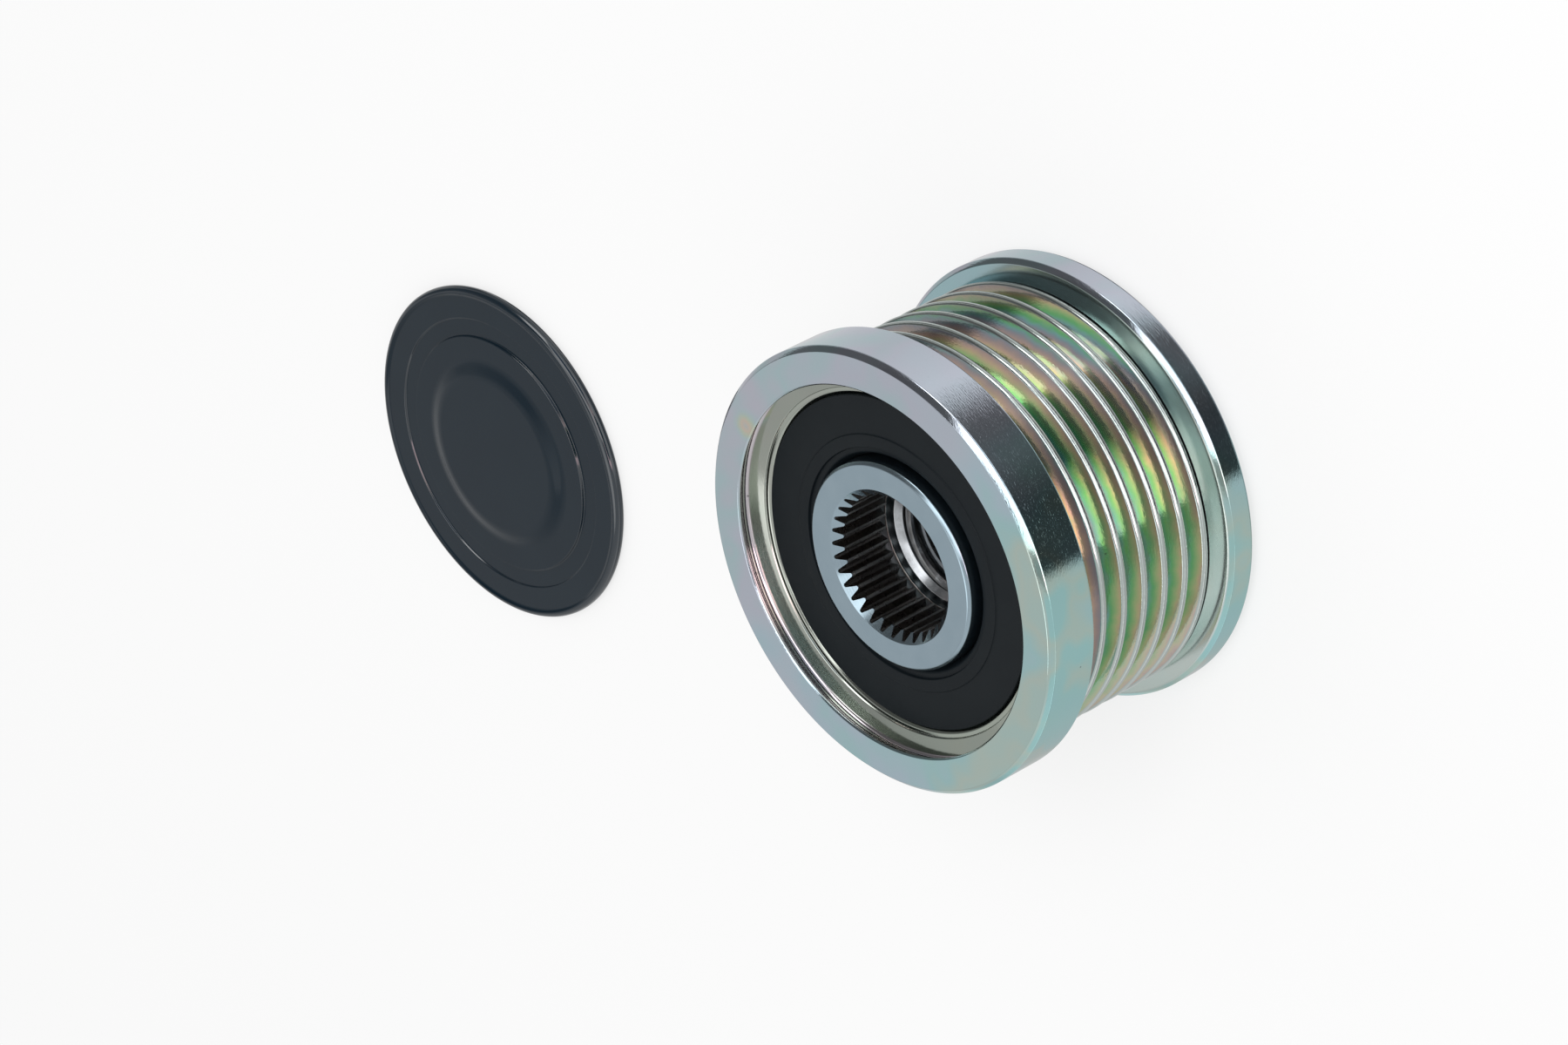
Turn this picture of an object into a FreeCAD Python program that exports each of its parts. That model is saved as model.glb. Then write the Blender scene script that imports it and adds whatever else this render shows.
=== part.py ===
import FreeCAD, Part
import math
import os

# Alternator pulley with an overrunning roller clutch, in millimetres.
# Z is the axis of rotation. The pulley stands on the rear end of its hub at z = 0, tool socket up.
# Its end cap is taken off and lies flat on the same surface, on the -X side.

# Pulley ring, outside
flange_r = 29.0
ring_length = 35.2
ring_standoff = 1.2          # the hub stands out this far behind the ring
front_flange_width = 7.2
rear_flange_width = 4.0
front_edge_round = 0.8
rear_edge_round = 0.5
front_flange_back_chamfer = 0.15
rear_flange_front_chamfer = 0.6

# Belt grooves, for a ribbed belt of 3.56 mm pitch
groove_count = 5
groove_pitch = 3.56
groove_angle = 40.0
groove_depth = 3.1
crest_r = 26.8
crest_flat = 0.4
first_crest_depth = 11.4     # from the front face to the middle of the first crest
last_crest_back_round = 0.8
rear_channel_r = 24.6

# Snap recess for the end cap
cap_mouth_r = 24.1
mouth_chamfer = 0.25
cap_groove_r = 25.15
cap_groove_depth = 1.6       # from the front face to the outer edge of the groove's floor
cap_groove_floor = 0.7
recess_floor_r = 22.45
recess_depth = 3.25
seal_lead_in = 0.5

# Seats inside the ring
seal_seat_r = 21.75
sleeve_seat_r = 20.5
front_seat_depth = 8.1       # from the front face to the shoulder under the front seal
rear_seat_depth = 4.0        # from the rear face to the shoulder over the rear seal

# Hub
hub_recess = 1.95            # the hub's front face lies this far below the ring's
collar_r = 13.6
collar_chamfer = 0.35
hub_seat_r = 12.5
hub_rear_chamfer = 0.6
shaft_bore_r = 8.5
shaft_bore_length = 12.4
shaft_bore_chamfer = 0.5
thread_r = 8.0
thread_length = 10.2
thread_lead_in = 1.2
relief_length = 1.2
relief_r = 10.2

# Tool socket
spline_teeth = 33
spline_root_r = 9.95
spline_tip_r = 8.9
gap_share_at_tip = 0.31      # half the gap, as a share of the tooth pitch
gap_share_at_root = 0.19
countersink_r = 10.65
countersink_depth = 0.78

# Rolling rows
track_r = 15.0
race_play = 0.03
needle_r = 1.25
needle_length = 5.6
needle_count = 14
row_end_gap = 0.2
needle_cage_length = 6.8
needle_cage_wall = 1.8
pocket_play = 0.06

# Roller clutch
clutch_rollers = 9
clutch_roller_r = 1.7
clutch_cage_end = 1.1        # end wall of the cage beyond a roller
ramp_angle = 4.0
clutch_cage_gap = 0.2
clutch_cage_seat_play = 0.05
spring_room = 2.3
spring_seat_gap = 0.05
spring_leaf = 0.25
spring_folds = 3
spring_height = 2.2
spring_end_room = 0.7        # between a spring's edge and the end of its roller

# Seals and thrust washers
washer_thickness = 0.8
washer_play = 0.1
lip_play = 0.05
seal_step_r = 16.8
seal_step = 0.15
seal_throat_r = 14.5
seal_edge_chamfer = 0.12
front_lip_depth = 1.7        # from the seal's face to the tip of its lip
rear_seal_recess = 0.5
rear_lip_depth = 1.2
lip_flat = 0.3
lip_slope = 0.45
lip_back_r = 0.9             # room between the lip's root and the face it runs on

# End cap
cap_r = 24.9
cap_offset = 119.0
cap_wall = 1.0
cap_bead_height = 1.8
cap_bead_width = 1.25
cap_bead_foot = 0.9
cap_face_height = 1.55
cap_step_r = 20.3
cap_step = 0.25
cap_ridge_r = 17.6
cap_ridge_height = 1.7
cap_slope_r = 13.9
cap_plateau_r = 11.9
cap_plateau_height = 2.35
cap_edge_slope = 0.12

# Heights that follow
ring_rear_z = ring_standoff
ring_front_z = ring_rear_z + ring_length
first_crest_z = ring_front_z - first_crest_depth
groove_root_r = crest_r - groove_depth
front_shoulder_z = ring_front_z - front_seat_depth
rear_shoulder_z = ring_rear_z + rear_seat_depth
track_top_z = front_shoulder_z - washer_play
track_foot_z = rear_shoulder_z + washer_play
hub_front_z = ring_front_z - hub_recess
thread_foot_z = shaft_bore_length
thread_top_z = thread_foot_z + thread_length
relief_foot_z = thread_top_z + thread_lead_in
relief_top_z = relief_foot_z + relief_length
rear_cage_z = rear_shoulder_z + row_end_gap
front_cage_z = front_shoulder_z - row_end_gap - needle_cage_length
clutch_foot_z = rear_cage_z + needle_cage_length + row_end_gap
clutch_top_z = front_cage_z - row_end_gap
clutch_mid_z = (clutch_foot_z + clutch_top_z) / 2
clutch_window_length = clutch_top_z - clutch_foot_z - 2 * clutch_cage_end
clutch_roller_length = clutch_window_length - 2 * pocket_play
spring_width = clutch_roller_length - 2 * spring_end_room
front_seal_z = ring_front_z - recess_depth
rear_seal_z = ring_rear_z + rear_seal_recess

# Radii that follow
needle_circle_r = track_r + race_play + needle_r
raceway_r = needle_circle_r + needle_r + race_play
clutch_circle_r = raceway_r - race_play - clutch_roller_r
ramp_r = clutch_circle_r * math.cos(math.radians(ramp_angle)) - clutch_roller_r - race_play
needle_cage_inner_r = needle_circle_r - needle_cage_wall / 2
needle_cage_outer_r = needle_circle_r + needle_cage_wall / 2
clutch_cage_outer_r = raceway_r - clutch_cage_gap
washer_outer_r = seal_seat_r - washer_play
cut_over = 1.0               # how far a cutting tool reaches past what it cuts

CENTRE = FreeCAD.Vector(0, 0, 0)
AXIS = FreeCAD.Vector(0, 0, 1)


class Section:
    """A closed outline of straight runs and arcs in the plane of the axis, turned into a solid."""

    def __init__(self, r, z):
        self.start = FreeCAD.Vector(r, 0, z)
        self.here = self.start
        self.edges = []

    def line(self, r, z):
        target = FreeCAD.Vector(r, 0, z)
        self.edges.append(Part.LineSegment(self.here, target).toShape())
        self.here = target
        return self

    def round(self, centre_r, centre_z, r, z):
        """An arc about a centre to the next corner, the short way."""
        centre = FreeCAD.Vector(centre_r, 0, centre_z)
        target = FreeCAD.Vector(r, 0, z)
        bisector = (self.here - centre) + (target - centre)
        bisector.normalize()
        middle = centre + bisector * (target - centre).Length
        self.edges.append(Part.Arc(self.here, middle, target).toShape())
        self.here = target
        return self

    def turned(self):
        self.edges.append(Part.LineSegment(self.here, self.start).toShape())
        return Part.Face(Part.Wire(self.edges)).revolve(CENTRE, AXIS, 360)


def tube(inner_r, outer_r, foot_z, top_z):
    """A plain ring between two heights."""
    section = Section(inner_r, foot_z).line(outer_r, foot_z).line(outer_r, top_z)
    return section.line(inner_r, top_z).turned()


def polar(radius, degrees, z=0.0):
    angle = math.radians(degrees)
    return FreeCAD.Vector(radius * math.cos(angle), radius * math.sin(angle), z)


def turned_to(shape, degrees):
    """A copy of a shape, turned about the axis."""
    copy = shape.copy()
    copy.rotate(CENTRE, AXIS, degrees)
    return copy


def prism(corners, height):
    """An upright block over a closed outline of corners."""
    return Part.Face(Part.makePolygon(corners + corners[:1])).extrude(AXIS * height)


def pocket(inner_r, outer_r, tangent_from, tangent_to, foot_z, top_z):
    """A window through a cage wall on the +X side, between two tangential places."""
    corner = FreeCAD.Vector(inner_r - cut_over, tangent_from, foot_z)
    depth = outer_r - inner_r + 2 * cut_over
    return Part.makeBox(depth, tangent_to - tangent_from, top_z - foot_z, corner)


def add_belt_grooves(section):
    """From the floor of the front channel over all crests and grooves, to the rear channel."""
    flank = groove_depth * math.tan(math.radians(groove_angle / 2))
    for crest in range(groove_count + 1):
        front_edge = first_crest_z - crest * groove_pitch + crest_flat / 2
        rear_edge = front_edge - crest_flat
        section.line(groove_root_r, front_edge + flank)
        section.line(crest_r, front_edge)
        section.line(crest_r, rear_edge)
        if crest < groove_count:
            section.line(groove_root_r, rear_edge - flank)
    back = last_crest_back_round
    section.round(crest_r - back, rear_edge, crest_r - back, rear_edge - back)
    section.line(rear_channel_r, rear_edge - back)


def pulley_ring():
    """The turned steel ring with its flanges, belt grooves, cap recess and seats."""
    front_side_z = ring_front_z - front_flange_width
    rear_side_z = ring_rear_z + rear_flange_width
    edge = front_edge_round
    ring = Section(cap_mouth_r + mouth_chamfer, ring_front_z).line(flange_r - edge, ring_front_z)
    ring.round(flange_r - edge, ring_front_z - edge, flange_r, ring_front_z - edge)
    ring.line(flange_r, front_side_z + front_flange_back_chamfer)
    ring.line(flange_r - front_flange_back_chamfer, front_side_z)
    ring.line(groove_root_r, front_side_z)
    add_belt_grooves(ring)
    ring.line(rear_channel_r, rear_side_z)
    ring.line(flange_r - rear_flange_front_chamfer, rear_side_z)
    ring.line(flange_r, rear_side_z - rear_flange_front_chamfer)
    edge = rear_edge_round
    ring.line(flange_r, ring_rear_z + edge)
    ring.round(flange_r - edge, ring_rear_z + edge, flange_r - edge, ring_rear_z)
    ring.line(seal_seat_r, ring_rear_z)
    ring.line(seal_seat_r, rear_shoulder_z).line(sleeve_seat_r, rear_shoulder_z)
    ring.line(sleeve_seat_r, front_shoulder_z).line(seal_seat_r, front_shoulder_z)
    ring.line(seal_seat_r, front_seal_z - seal_lead_in).line(recess_floor_r, front_seal_z)
    ring.line(cap_groove_r, ring_front_z - cap_groove_depth - cap_groove_floor)
    ring.line(cap_groove_r, ring_front_z - cap_groove_depth)
    ring.line(cap_mouth_r, ring_front_z - mouth_chamfer)
    return ring.turned()


def spline_gaps():
    """The gaps between the teeth of the tool socket, as one star-shaped block."""
    corners = []
    form = ((spline_tip_r, -gap_share_at_tip), (spline_root_r, -gap_share_at_root),
            (spline_root_r, gap_share_at_root), (spline_tip_r, gap_share_at_tip))
    for gap in range(spline_teeth):
        for radius, share in form:
            corners.append(polar(radius, (gap + share) * 360 / spline_teeth, relief_top_z))
    return prism(corners, hub_front_z - relief_top_z + cut_over)


def hub():
    """The steel hub: shaft bore, thread, tool run-out and splined socket, from rear to front."""
    body = Section(shaft_bore_r + shaft_bore_chamfer, 0).line(hub_seat_r - hub_rear_chamfer, 0)
    body.line(hub_seat_r, hub_rear_chamfer).line(hub_seat_r, track_top_z)
    body.line(collar_r, track_top_z).line(collar_r, hub_front_z - collar_chamfer)
    body.line(collar_r - collar_chamfer, hub_front_z).line(countersink_r, hub_front_z)
    body.line(spline_tip_r, hub_front_z - countersink_depth).line(spline_tip_r, relief_top_z)
    body.line(relief_r, relief_top_z).line(relief_r, relief_foot_z)
    body.line(thread_r + thread_lead_in, relief_foot_z).line(thread_r, thread_top_z)
    body.line(thread_r, thread_foot_z).line(shaft_bore_r, thread_foot_z)
    body.line(shaft_bore_r, shaft_bore_chamfer)
    return body.turned().cut(spline_gaps())


def ramp_block(inner_r, foot_z, top_z):
    """An upright block with one flat for each clutch roller, at a distance from the axis."""
    half_pitch = 180 / clutch_rollers
    corner_r = inner_r / math.cos(math.radians(half_pitch))
    corners = []
    for flat in range(clutch_rollers):
        corners.append(polar(corner_r, ramp_angle + (2 * flat + 1) * half_pitch, foot_z))
    return prism(corners, top_z - foot_z)


def inner_sleeve():
    """The hardened sleeve on the hub: two round tracks, with the clutch ramps between them."""
    sleeve = tube(hub_seat_r, track_r, track_foot_z, track_top_z)
    collar = tube(hub_seat_r, track_r + cut_over, clutch_foot_z, clutch_top_z)
    return sleeve.cut(collar.cut(ramp_block(ramp_r, clutch_foot_z, clutch_top_z)))


def outer_sleeve():
    """The hardened raceway that is pressed into the ring."""
    return tube(raceway_r, sleeve_seat_r, rear_shoulder_z, front_shoulder_z)


def clutch_cage():
    """The plastic cage, locked on the ramps, with a window for each roller and its spring."""
    cage = tube(hub_seat_r, clutch_cage_outer_r, clutch_foot_z, clutch_top_z)
    cage = cage.cut(ramp_block(ramp_r + clutch_cage_seat_play, clutch_foot_z, clutch_top_z))
    window = pocket(ramp_r, clutch_cage_outer_r, -clutch_roller_r - pocket_play,
                    clutch_roller_r + spring_room, clutch_foot_z + clutch_cage_end,
                    clutch_top_z - clutch_cage_end)
    return cage.cut([turned_to(window, 360 * i / clutch_rollers) for i in range(clutch_rollers)])


def clutch_roller():
    """One clutch roller on the +X side, between its ramp and the raceway."""
    foot = FreeCAD.Vector(clutch_circle_r, 0, clutch_mid_z - clutch_roller_length / 2)
    return Part.makeCylinder(clutch_roller_r, clutch_roller_length, foot)


def spring_bend(fold, start, pitch, foot_z):
    """One half-round bend of the leaf, outward on even folds and inward on odd ones."""
    side = 1 if fold % 2 == 0 else -1
    straight = spring_height - pitch - spring_leaf
    centre = FreeCAD.Vector(clutch_circle_r + side * straight / 2, start + (fold + 0.5) * pitch, foot_z)
    outer = Part.makeCylinder(pitch / 2 + spring_leaf / 2, spring_width, centre, AXIS, 180)
    outer.rotate(centre, AXIS, -90 * side)
    return outer.cut(Part.makeCylinder(pitch / 2 - spring_leaf / 2, spring_width, centre))


def clutch_spring():
    """One folded leaf spring that pushes its roller towards the narrow end of the ramp."""
    first = clutch_roller_r + spring_seat_gap
    pitch = (spring_room - 2 * spring_seat_gap - spring_leaf) / spring_folds
    straight = spring_height - pitch - spring_leaf
    foot_z = clutch_mid_z - spring_width / 2
    pieces = []
    for leg in range(spring_folds + 1):
        corner = FreeCAD.Vector(clutch_circle_r - straight / 2, first + leg * pitch, foot_z)
        pieces.append(Part.makeBox(straight, spring_leaf, spring_width, corner))
    for fold in range(spring_folds):
        pieces.append(spring_bend(fold, first + spring_leaf / 2, pitch, foot_z))
    return pieces[0].multiFuse(pieces[1:]).removeSplitter()


def needle_cage(foot_z):
    """A cage of one needle row, with a window for each needle."""
    top_z = foot_z + needle_cage_length
    half_length = needle_length / 2 + pocket_play
    half_width = needle_r + pocket_play
    mid_z = (foot_z + top_z) / 2
    window = pocket(needle_cage_inner_r, needle_cage_outer_r, -half_width, half_width,
                    mid_z - half_length, mid_z + half_length)
    cage = tube(needle_cage_inner_r, needle_cage_outer_r, foot_z, top_z)
    return cage.cut([turned_to(window, 360 * i / needle_count) for i in range(needle_count)])


def needle(cage_foot_z):
    """One needle on the +X side, in the middle of its cage."""
    foot_z = cage_foot_z + (needle_cage_length - needle_length) / 2
    return Part.makeCylinder(needle_r, needle_length, FreeCAD.Vector(needle_circle_r, 0, foot_z))


def thrust_washer(running_r, foot_z):
    """A flat ring between a sleeve end and its seal, clear of the hub by the washer's play."""
    return tube(running_r + washer_play, washer_outer_r, foot_z, foot_z + washer_thickness)


def seal_section(running_r, face_z, back_z, lip_depth):
    """A lip seal from its face to its back. The face may look up or down."""
    inward = 1 if back_z > face_z else -1
    lip_r = running_r + lip_play
    lip_z = face_z + inward * lip_depth
    seal = Section(seal_seat_r, back_z).line(seal_seat_r, face_z + inward * seal_edge_chamfer)
    seal.line(seal_seat_r - seal_edge_chamfer, face_z).line(seal_step_r, face_z)
    seal.line(seal_step_r, face_z + inward * seal_step)
    seal.line(seal_throat_r, face_z + inward * seal_step)
    seal.line(lip_r, lip_z).line(lip_r, lip_z + inward * lip_flat)
    seal.line(lip_r + lip_back_r, lip_z + inward * (lip_flat + lip_slope))
    return seal.line(lip_r + lip_back_r, back_z).turned()


def end_cap():
    """The moulded dust cap: snap bead, stepped face and raised middle, on its own centre."""
    under = cap_face_height - cap_wall
    bead_top_r = cap_r - (cap_bead_height - cap_bead_foot)
    cap = Section(0, cap_plateau_height).line(0, cap_plateau_height - cap_wall)
    cap.line(cap_plateau_r, cap_plateau_height - cap_wall)
    cap.line(cap_slope_r, under).line(cap_r - cap_bead_width - cap_edge_slope, under)
    cap.line(cap_r - cap_bead_width, 0).line(cap_r - cap_bead_foot, 0)
    cap.round(cap_r - cap_bead_foot, cap_bead_foot, cap_r, cap_bead_foot)
    cap.round(bead_top_r, cap_bead_foot, bead_top_r, cap_bead_height)
    cap.line(cap_r - cap_bead_width, cap_face_height)
    cap.line(cap_step_r, cap_face_height)
    cap.line(cap_step_r - cap_edge_slope, cap_face_height - cap_step)
    cap.line(cap_ridge_r + cap_edge_slope, cap_face_height - cap_step)
    cap.line(cap_ridge_r, cap_ridge_height).line(cap_slope_r, cap_ridge_height)
    return cap.line(cap_plateau_r, cap_plateau_height).turned()


def all_nodes():
    """Every separate piece by name."""
    nodes = {
        "hub": hub(),
        "inner_sleeve": inner_sleeve(),
        "outer_sleeve": outer_sleeve(),
        "pulley_ring": pulley_ring(),
        "clutch_cage": clutch_cage(),
        "front_needle_cage": needle_cage(front_cage_z),
        "rear_needle_cage": needle_cage(rear_cage_z),
        "front_thrust_washer": thrust_washer(collar_r, front_shoulder_z),
        "rear_thrust_washer": thrust_washer(hub_seat_r, rear_shoulder_z - washer_thickness),
        "front_seal": seal_section(collar_r, front_seal_z, front_shoulder_z + washer_thickness,
                                   front_lip_depth),
        "rear_seal": seal_section(hub_seat_r, rear_seal_z, rear_shoulder_z - washer_thickness,
                                  rear_lip_depth),
        "end_cap": end_cap(),
    }
    nodes["end_cap"].translate(FreeCAD.Vector(-cap_offset, 0, 0))
    roller, spring = clutch_roller(), clutch_spring()
    for i in range(clutch_rollers):
        turn = 360 * i / clutch_rollers
        nodes["clutch_roller_%d" % (i + 1)] = turned_to(roller, turn)
        nodes["clutch_spring_%d" % (i + 1)] = turned_to(spring, turn)
    for row, cage_z in (("front", front_cage_z), ("rear", rear_cage_z)):
        first = needle(cage_z)
        for i in range(needle_count):
            nodes["%s_needle_%02d" % (row, i + 1)] = turned_to(first, 360 * i / needle_count)
    return nodes


os.makedirs("parts", exist_ok=True)
for name, shape in all_nodes().items():
    shape.exportStep("parts/%s.step" % name)
    print("%-22s solids %d  valid %s  volume %9.1f mm3" % (name, len(shape.Solids), shape.isValid(),
                                                           shape.Volume))
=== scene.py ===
# %% [markdown]
# # An overrunning alternator pulley, dressed for a picture
# The measured model comes first and stays as it is. Around it this lesson turns the visible steel,
# rubber and plastic pieces as fine meshes, gives every piece a finish made of nodes, and sets up a
# plain studio. Blender works in metres here, with Z as the axis of the pulley. The sizes of the
# pieces are written in millimetres, as on a drawing, and multiplied by MM where a mesh is made.

# %% Load the measured model
import math

import bmesh
import bpy
from mathutils import Matrix, Vector


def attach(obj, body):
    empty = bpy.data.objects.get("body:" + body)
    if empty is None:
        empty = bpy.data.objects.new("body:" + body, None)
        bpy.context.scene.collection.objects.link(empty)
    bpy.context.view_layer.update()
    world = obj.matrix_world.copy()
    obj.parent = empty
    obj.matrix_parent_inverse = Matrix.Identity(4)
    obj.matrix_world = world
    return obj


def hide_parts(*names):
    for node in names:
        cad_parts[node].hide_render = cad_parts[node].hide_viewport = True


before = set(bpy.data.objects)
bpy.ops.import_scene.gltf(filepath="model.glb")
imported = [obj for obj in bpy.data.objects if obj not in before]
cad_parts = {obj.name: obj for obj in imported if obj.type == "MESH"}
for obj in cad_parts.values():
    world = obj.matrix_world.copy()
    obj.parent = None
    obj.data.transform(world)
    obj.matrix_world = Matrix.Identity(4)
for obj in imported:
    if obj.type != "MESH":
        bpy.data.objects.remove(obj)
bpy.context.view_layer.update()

MM = 0.001

# %% [markdown]
# ## The camera
# The picture was taken from slightly above, with the camera rolled to one side, so that a pulley
# standing on its end seems to lie. Blender's camera looks along its own -Z. Building its turn from
# the viewing line and the roll keeps the two facts apart, which is easier to adjust than three angles.

# %% Place the camera
CAMERA_PLACE = Vector((494.709, 173.888, 429.535)) * MM
VIEW_LINE = Vector((-0.76618, -0.25217, -0.59108)).normalized()
CAMERA_ROLL = math.radians(-116.75)
CAMERA_LENS = 125.27

level_right = VIEW_LINE.cross(Vector((0, 0, 1))).normalized()
level_up = level_right.cross(VIEW_LINE)
camera_right = math.cos(CAMERA_ROLL) * level_right + math.sin(CAMERA_ROLL) * level_up
camera_up = camera_right.cross(VIEW_LINE)
camera_turn = Matrix((camera_right, camera_up, -VIEW_LINE)).transposed()

camera = bpy.data.objects.new("camera", bpy.data.cameras.new("camera"))
camera.data.lens = CAMERA_LENS
camera.matrix_world = Matrix.Translation(CAMERA_PLACE) @ camera_turn.to_4x4()
bpy.context.scene.collection.objects.link(camera)
bpy.context.scene.camera = camera
print("the camera stands", round(CAMERA_PLACE.length, 3), "m from the pulley's foot")

# %% [markdown]
# ## Turning a piece
# Ring, hub, seals and cap are all turned or moulded around one axis, so one helper makes them. It
# takes the corners of half a cross-section as radius, height and the length of the corner's rounding,
# rounds the corners with a vertex bevel, and spins the outline once around the axis. A lathe works
# the same way, and so the piece gets true round edges that catch the light. A long spin is slow,
# because each step goes over all that is there, so one slice is spun first and then copied around.

# %% A helper that turns an outline
STEPS = 360
SLICES = 12
CORNER_SEGMENTS = 5
WELD_DISTANCE = 1e-6


def draw_outline(bm, corners, closed=True):
    """Wire of corners (radius, height, rounding) in millimetres, with its corners rounded."""
    dots = [bm.verts.new((radius * MM, 0, height * MM)) for radius, height, _ in corners]
    ends = dots[1:] + dots[:1] if closed else dots[1:]
    for start, end in zip(dots, ends):
        bm.edges.new((start, end))
    for dot, (_, _, rounding) in zip(dots, corners):
        if rounding:
            bmesh.ops.bevel(bm, geom=[dot], offset=rounding * MM, offset_type="OFFSET",
                            segments=CORNER_SEGMENTS, profile=0.5, affect="VERTICES", material=-1)


def turn_outline(bm, steps=STEPS):
    """Spin the outline through one slice of the turn, and copy the slice around Z."""
    slice_angle = math.tau / SLICES
    around_z = {"cent": (0, 0, 0), "axis": (0, 0, 1), "dvec": (0, 0, 0)}
    bmesh.ops.spin(bm, geom=bm.verts[:] + bm.edges[:], angle=slice_angle,
                   steps=steps // SLICES, **around_z)
    bmesh.ops.spin(bm, geom=bm.verts[:] + bm.edges[:] + bm.faces[:], angle=math.tau - slice_angle,
                   steps=SLICES - 1, use_duplicate=True, **around_z)
    bmesh.ops.remove_doubles(bm, verts=bm.verts[:], dist=WELD_DISTANCE)


print("a turned piece has", STEPS, "steps around, or one every", 360 / STEPS, "degree")

# %% [markdown]
# A turned part is smooth where its outline is rounded and sharp where two faces meet. Blender
# shades it so when every face is smooth and the edges above a chosen angle are marked as sharp. The
# Weighted Normal modifier then keeps large flat faces flat up to their rounded rims. Last, the piece
# is tied to the body that it moves with, and takes the place of the measured piece that it refines.

# %% A helper that finishes a mesh as a piece
SHARP_ANGLE = math.radians(32)
COLLAPSE_DISTANCE = 1e-7


def finish_piece(bm, name, body, replaced, place=(0, 0, 0)):
    """Move the mesh to its place, smooth it between sharp edges, and let it ride on its body."""
    bmesh.ops.translate(bm, verts=bm.verts[:], vec=Vector(place) * MM)
    bmesh.ops.dissolve_degenerate(bm, dist=COLLAPSE_DISTANCE, edges=bm.edges[:])
    bmesh.ops.recalc_face_normals(bm, faces=bm.faces[:])
    for face in bm.faces:
        face.smooth = True
    for edge in bm.edges:
        edge.smooth = edge.is_manifold and edge.calc_face_angle() < SHARP_ANGLE
    loose = sum(not edge.is_manifold for edge in bm.edges)
    mesh = bpy.data.meshes.new(name)
    bm.to_mesh(mesh)
    bm.free()
    piece = bpy.data.objects.new(name, mesh)
    bpy.context.scene.collection.objects.link(piece)
    piece.modifiers.new("flat faces stay flat", "WEIGHTED_NORMAL").keep_sharp = True
    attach(piece, body)
    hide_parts(replaced)
    triangles = sum(len(polygon.vertices) - 2 for polygon in mesh.polygons)
    print(name, "has", triangles, "triangles and", loose, "open edges")
    return piece


def turned_piece(name, corners, body, replaced, closed=True, place=(0, 0, 0)):
    bm = bmesh.new()
    draw_outline(bm, corners, closed)
    turn_outline(bm)
    return finish_piece(bm, name, body, replaced, place)


print("edges sharper than", round(math.degrees(SHARP_ANGLE)), "degrees stay sharp")

# %% [markdown]
# ## The pulley ring
# The ring is one turned steel piece: a wide front flange, five grooves for a ribbed belt, a narrow
# rear flange, and a snap recess in front that holds the cap. The flank of each groove leans by 20
# degrees, and so does the back of the front flange, which is cut by the same kind of tool. A loop
# over the crests draws them all, because they differ only in height. Their roundings are nearly as
# long as half a crest, which leaves a round back that shines as one thin line.

# %% The ring's outline, from the front flange to the last crest
RING_FRONT, RING_REAR = 36.4, 1.2
FLANGE_R, CREST_R, ROOT_R = 29.0, 26.8, 23.7
FIRST_CREST, GROOVE_PITCH, GROOVES = 25.0, 3.56, 5
HALF_CREST, CREST_ROUNDING, ROOT_ROUNDING = 0.40, 0.32, 0.12
LEAN = math.tan(math.radians(20))
FLANK = (CREST_R - ROOT_R) * LEAN
FLANGE_BEVEL, FLANGE_FOOT = 0.65, 29.2

front_flange = [(24.35, RING_FRONT, 0.05), (FLANGE_R - FLANGE_BEVEL, RING_FRONT, 0.06),
                (FLANGE_R, RING_FRONT - FLANGE_BEVEL, 0.10), (FLANGE_R, FLANGE_FOOT, 0.22),
                (ROOT_R, FLANGE_FOOT - (FLANGE_R - ROOT_R) * LEAN, ROOT_ROUNDING)]
belt_track = []
for crest in range(GROOVES + 1):
    middle = FIRST_CREST - crest * GROOVE_PITCH
    belt_track.append((ROOT_R, middle + HALF_CREST + FLANK, ROOT_ROUNDING))
    belt_track.append((CREST_R, middle + HALF_CREST, CREST_ROUNDING))
    if crest < GROOVES:
        belt_track.append((CREST_R, middle - HALF_CREST, CREST_ROUNDING))
        belt_track.append((ROOT_R, middle - HALF_CREST - FLANK, ROOT_ROUNDING))
print("a groove is", round(CREST_R - ROOT_R, 2), "mm deep and its flank rises", round(FLANK, 2), "mm")

# %% [markdown]
# Behind the last crest the tool has left a thin slot, and from there a slope of nearly 40 degrees
# leads down to the side of the rear flange. Inside, two seats hold the seals and a longer one holds
# the hard sleeve. The recess in front has a small ledge and an undercut that the cap's bead snaps into.
# One closed outline for all of it keeps the ring one solid piece, as it is on the lathe.

# %% The rest of the outline, and the turned ring
SLOT_TOP, SLOT_FOOT, SLOT_DEPTH = 6.90, 6.60, 0.50
SIDE_FACE, SIDE_FACE_R, REAR_BEVEL_FOOT = 5.2, 28.4, 4.6
SEAL_SEAT_R, SLEEVE_SEAT_R = 21.75, 20.5
SLEEVE_REAR, SLEEVE_FRONT = 5.2, 28.3
RECESS_FLOOR, RECESS_R = 33.15, 25.15

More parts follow.
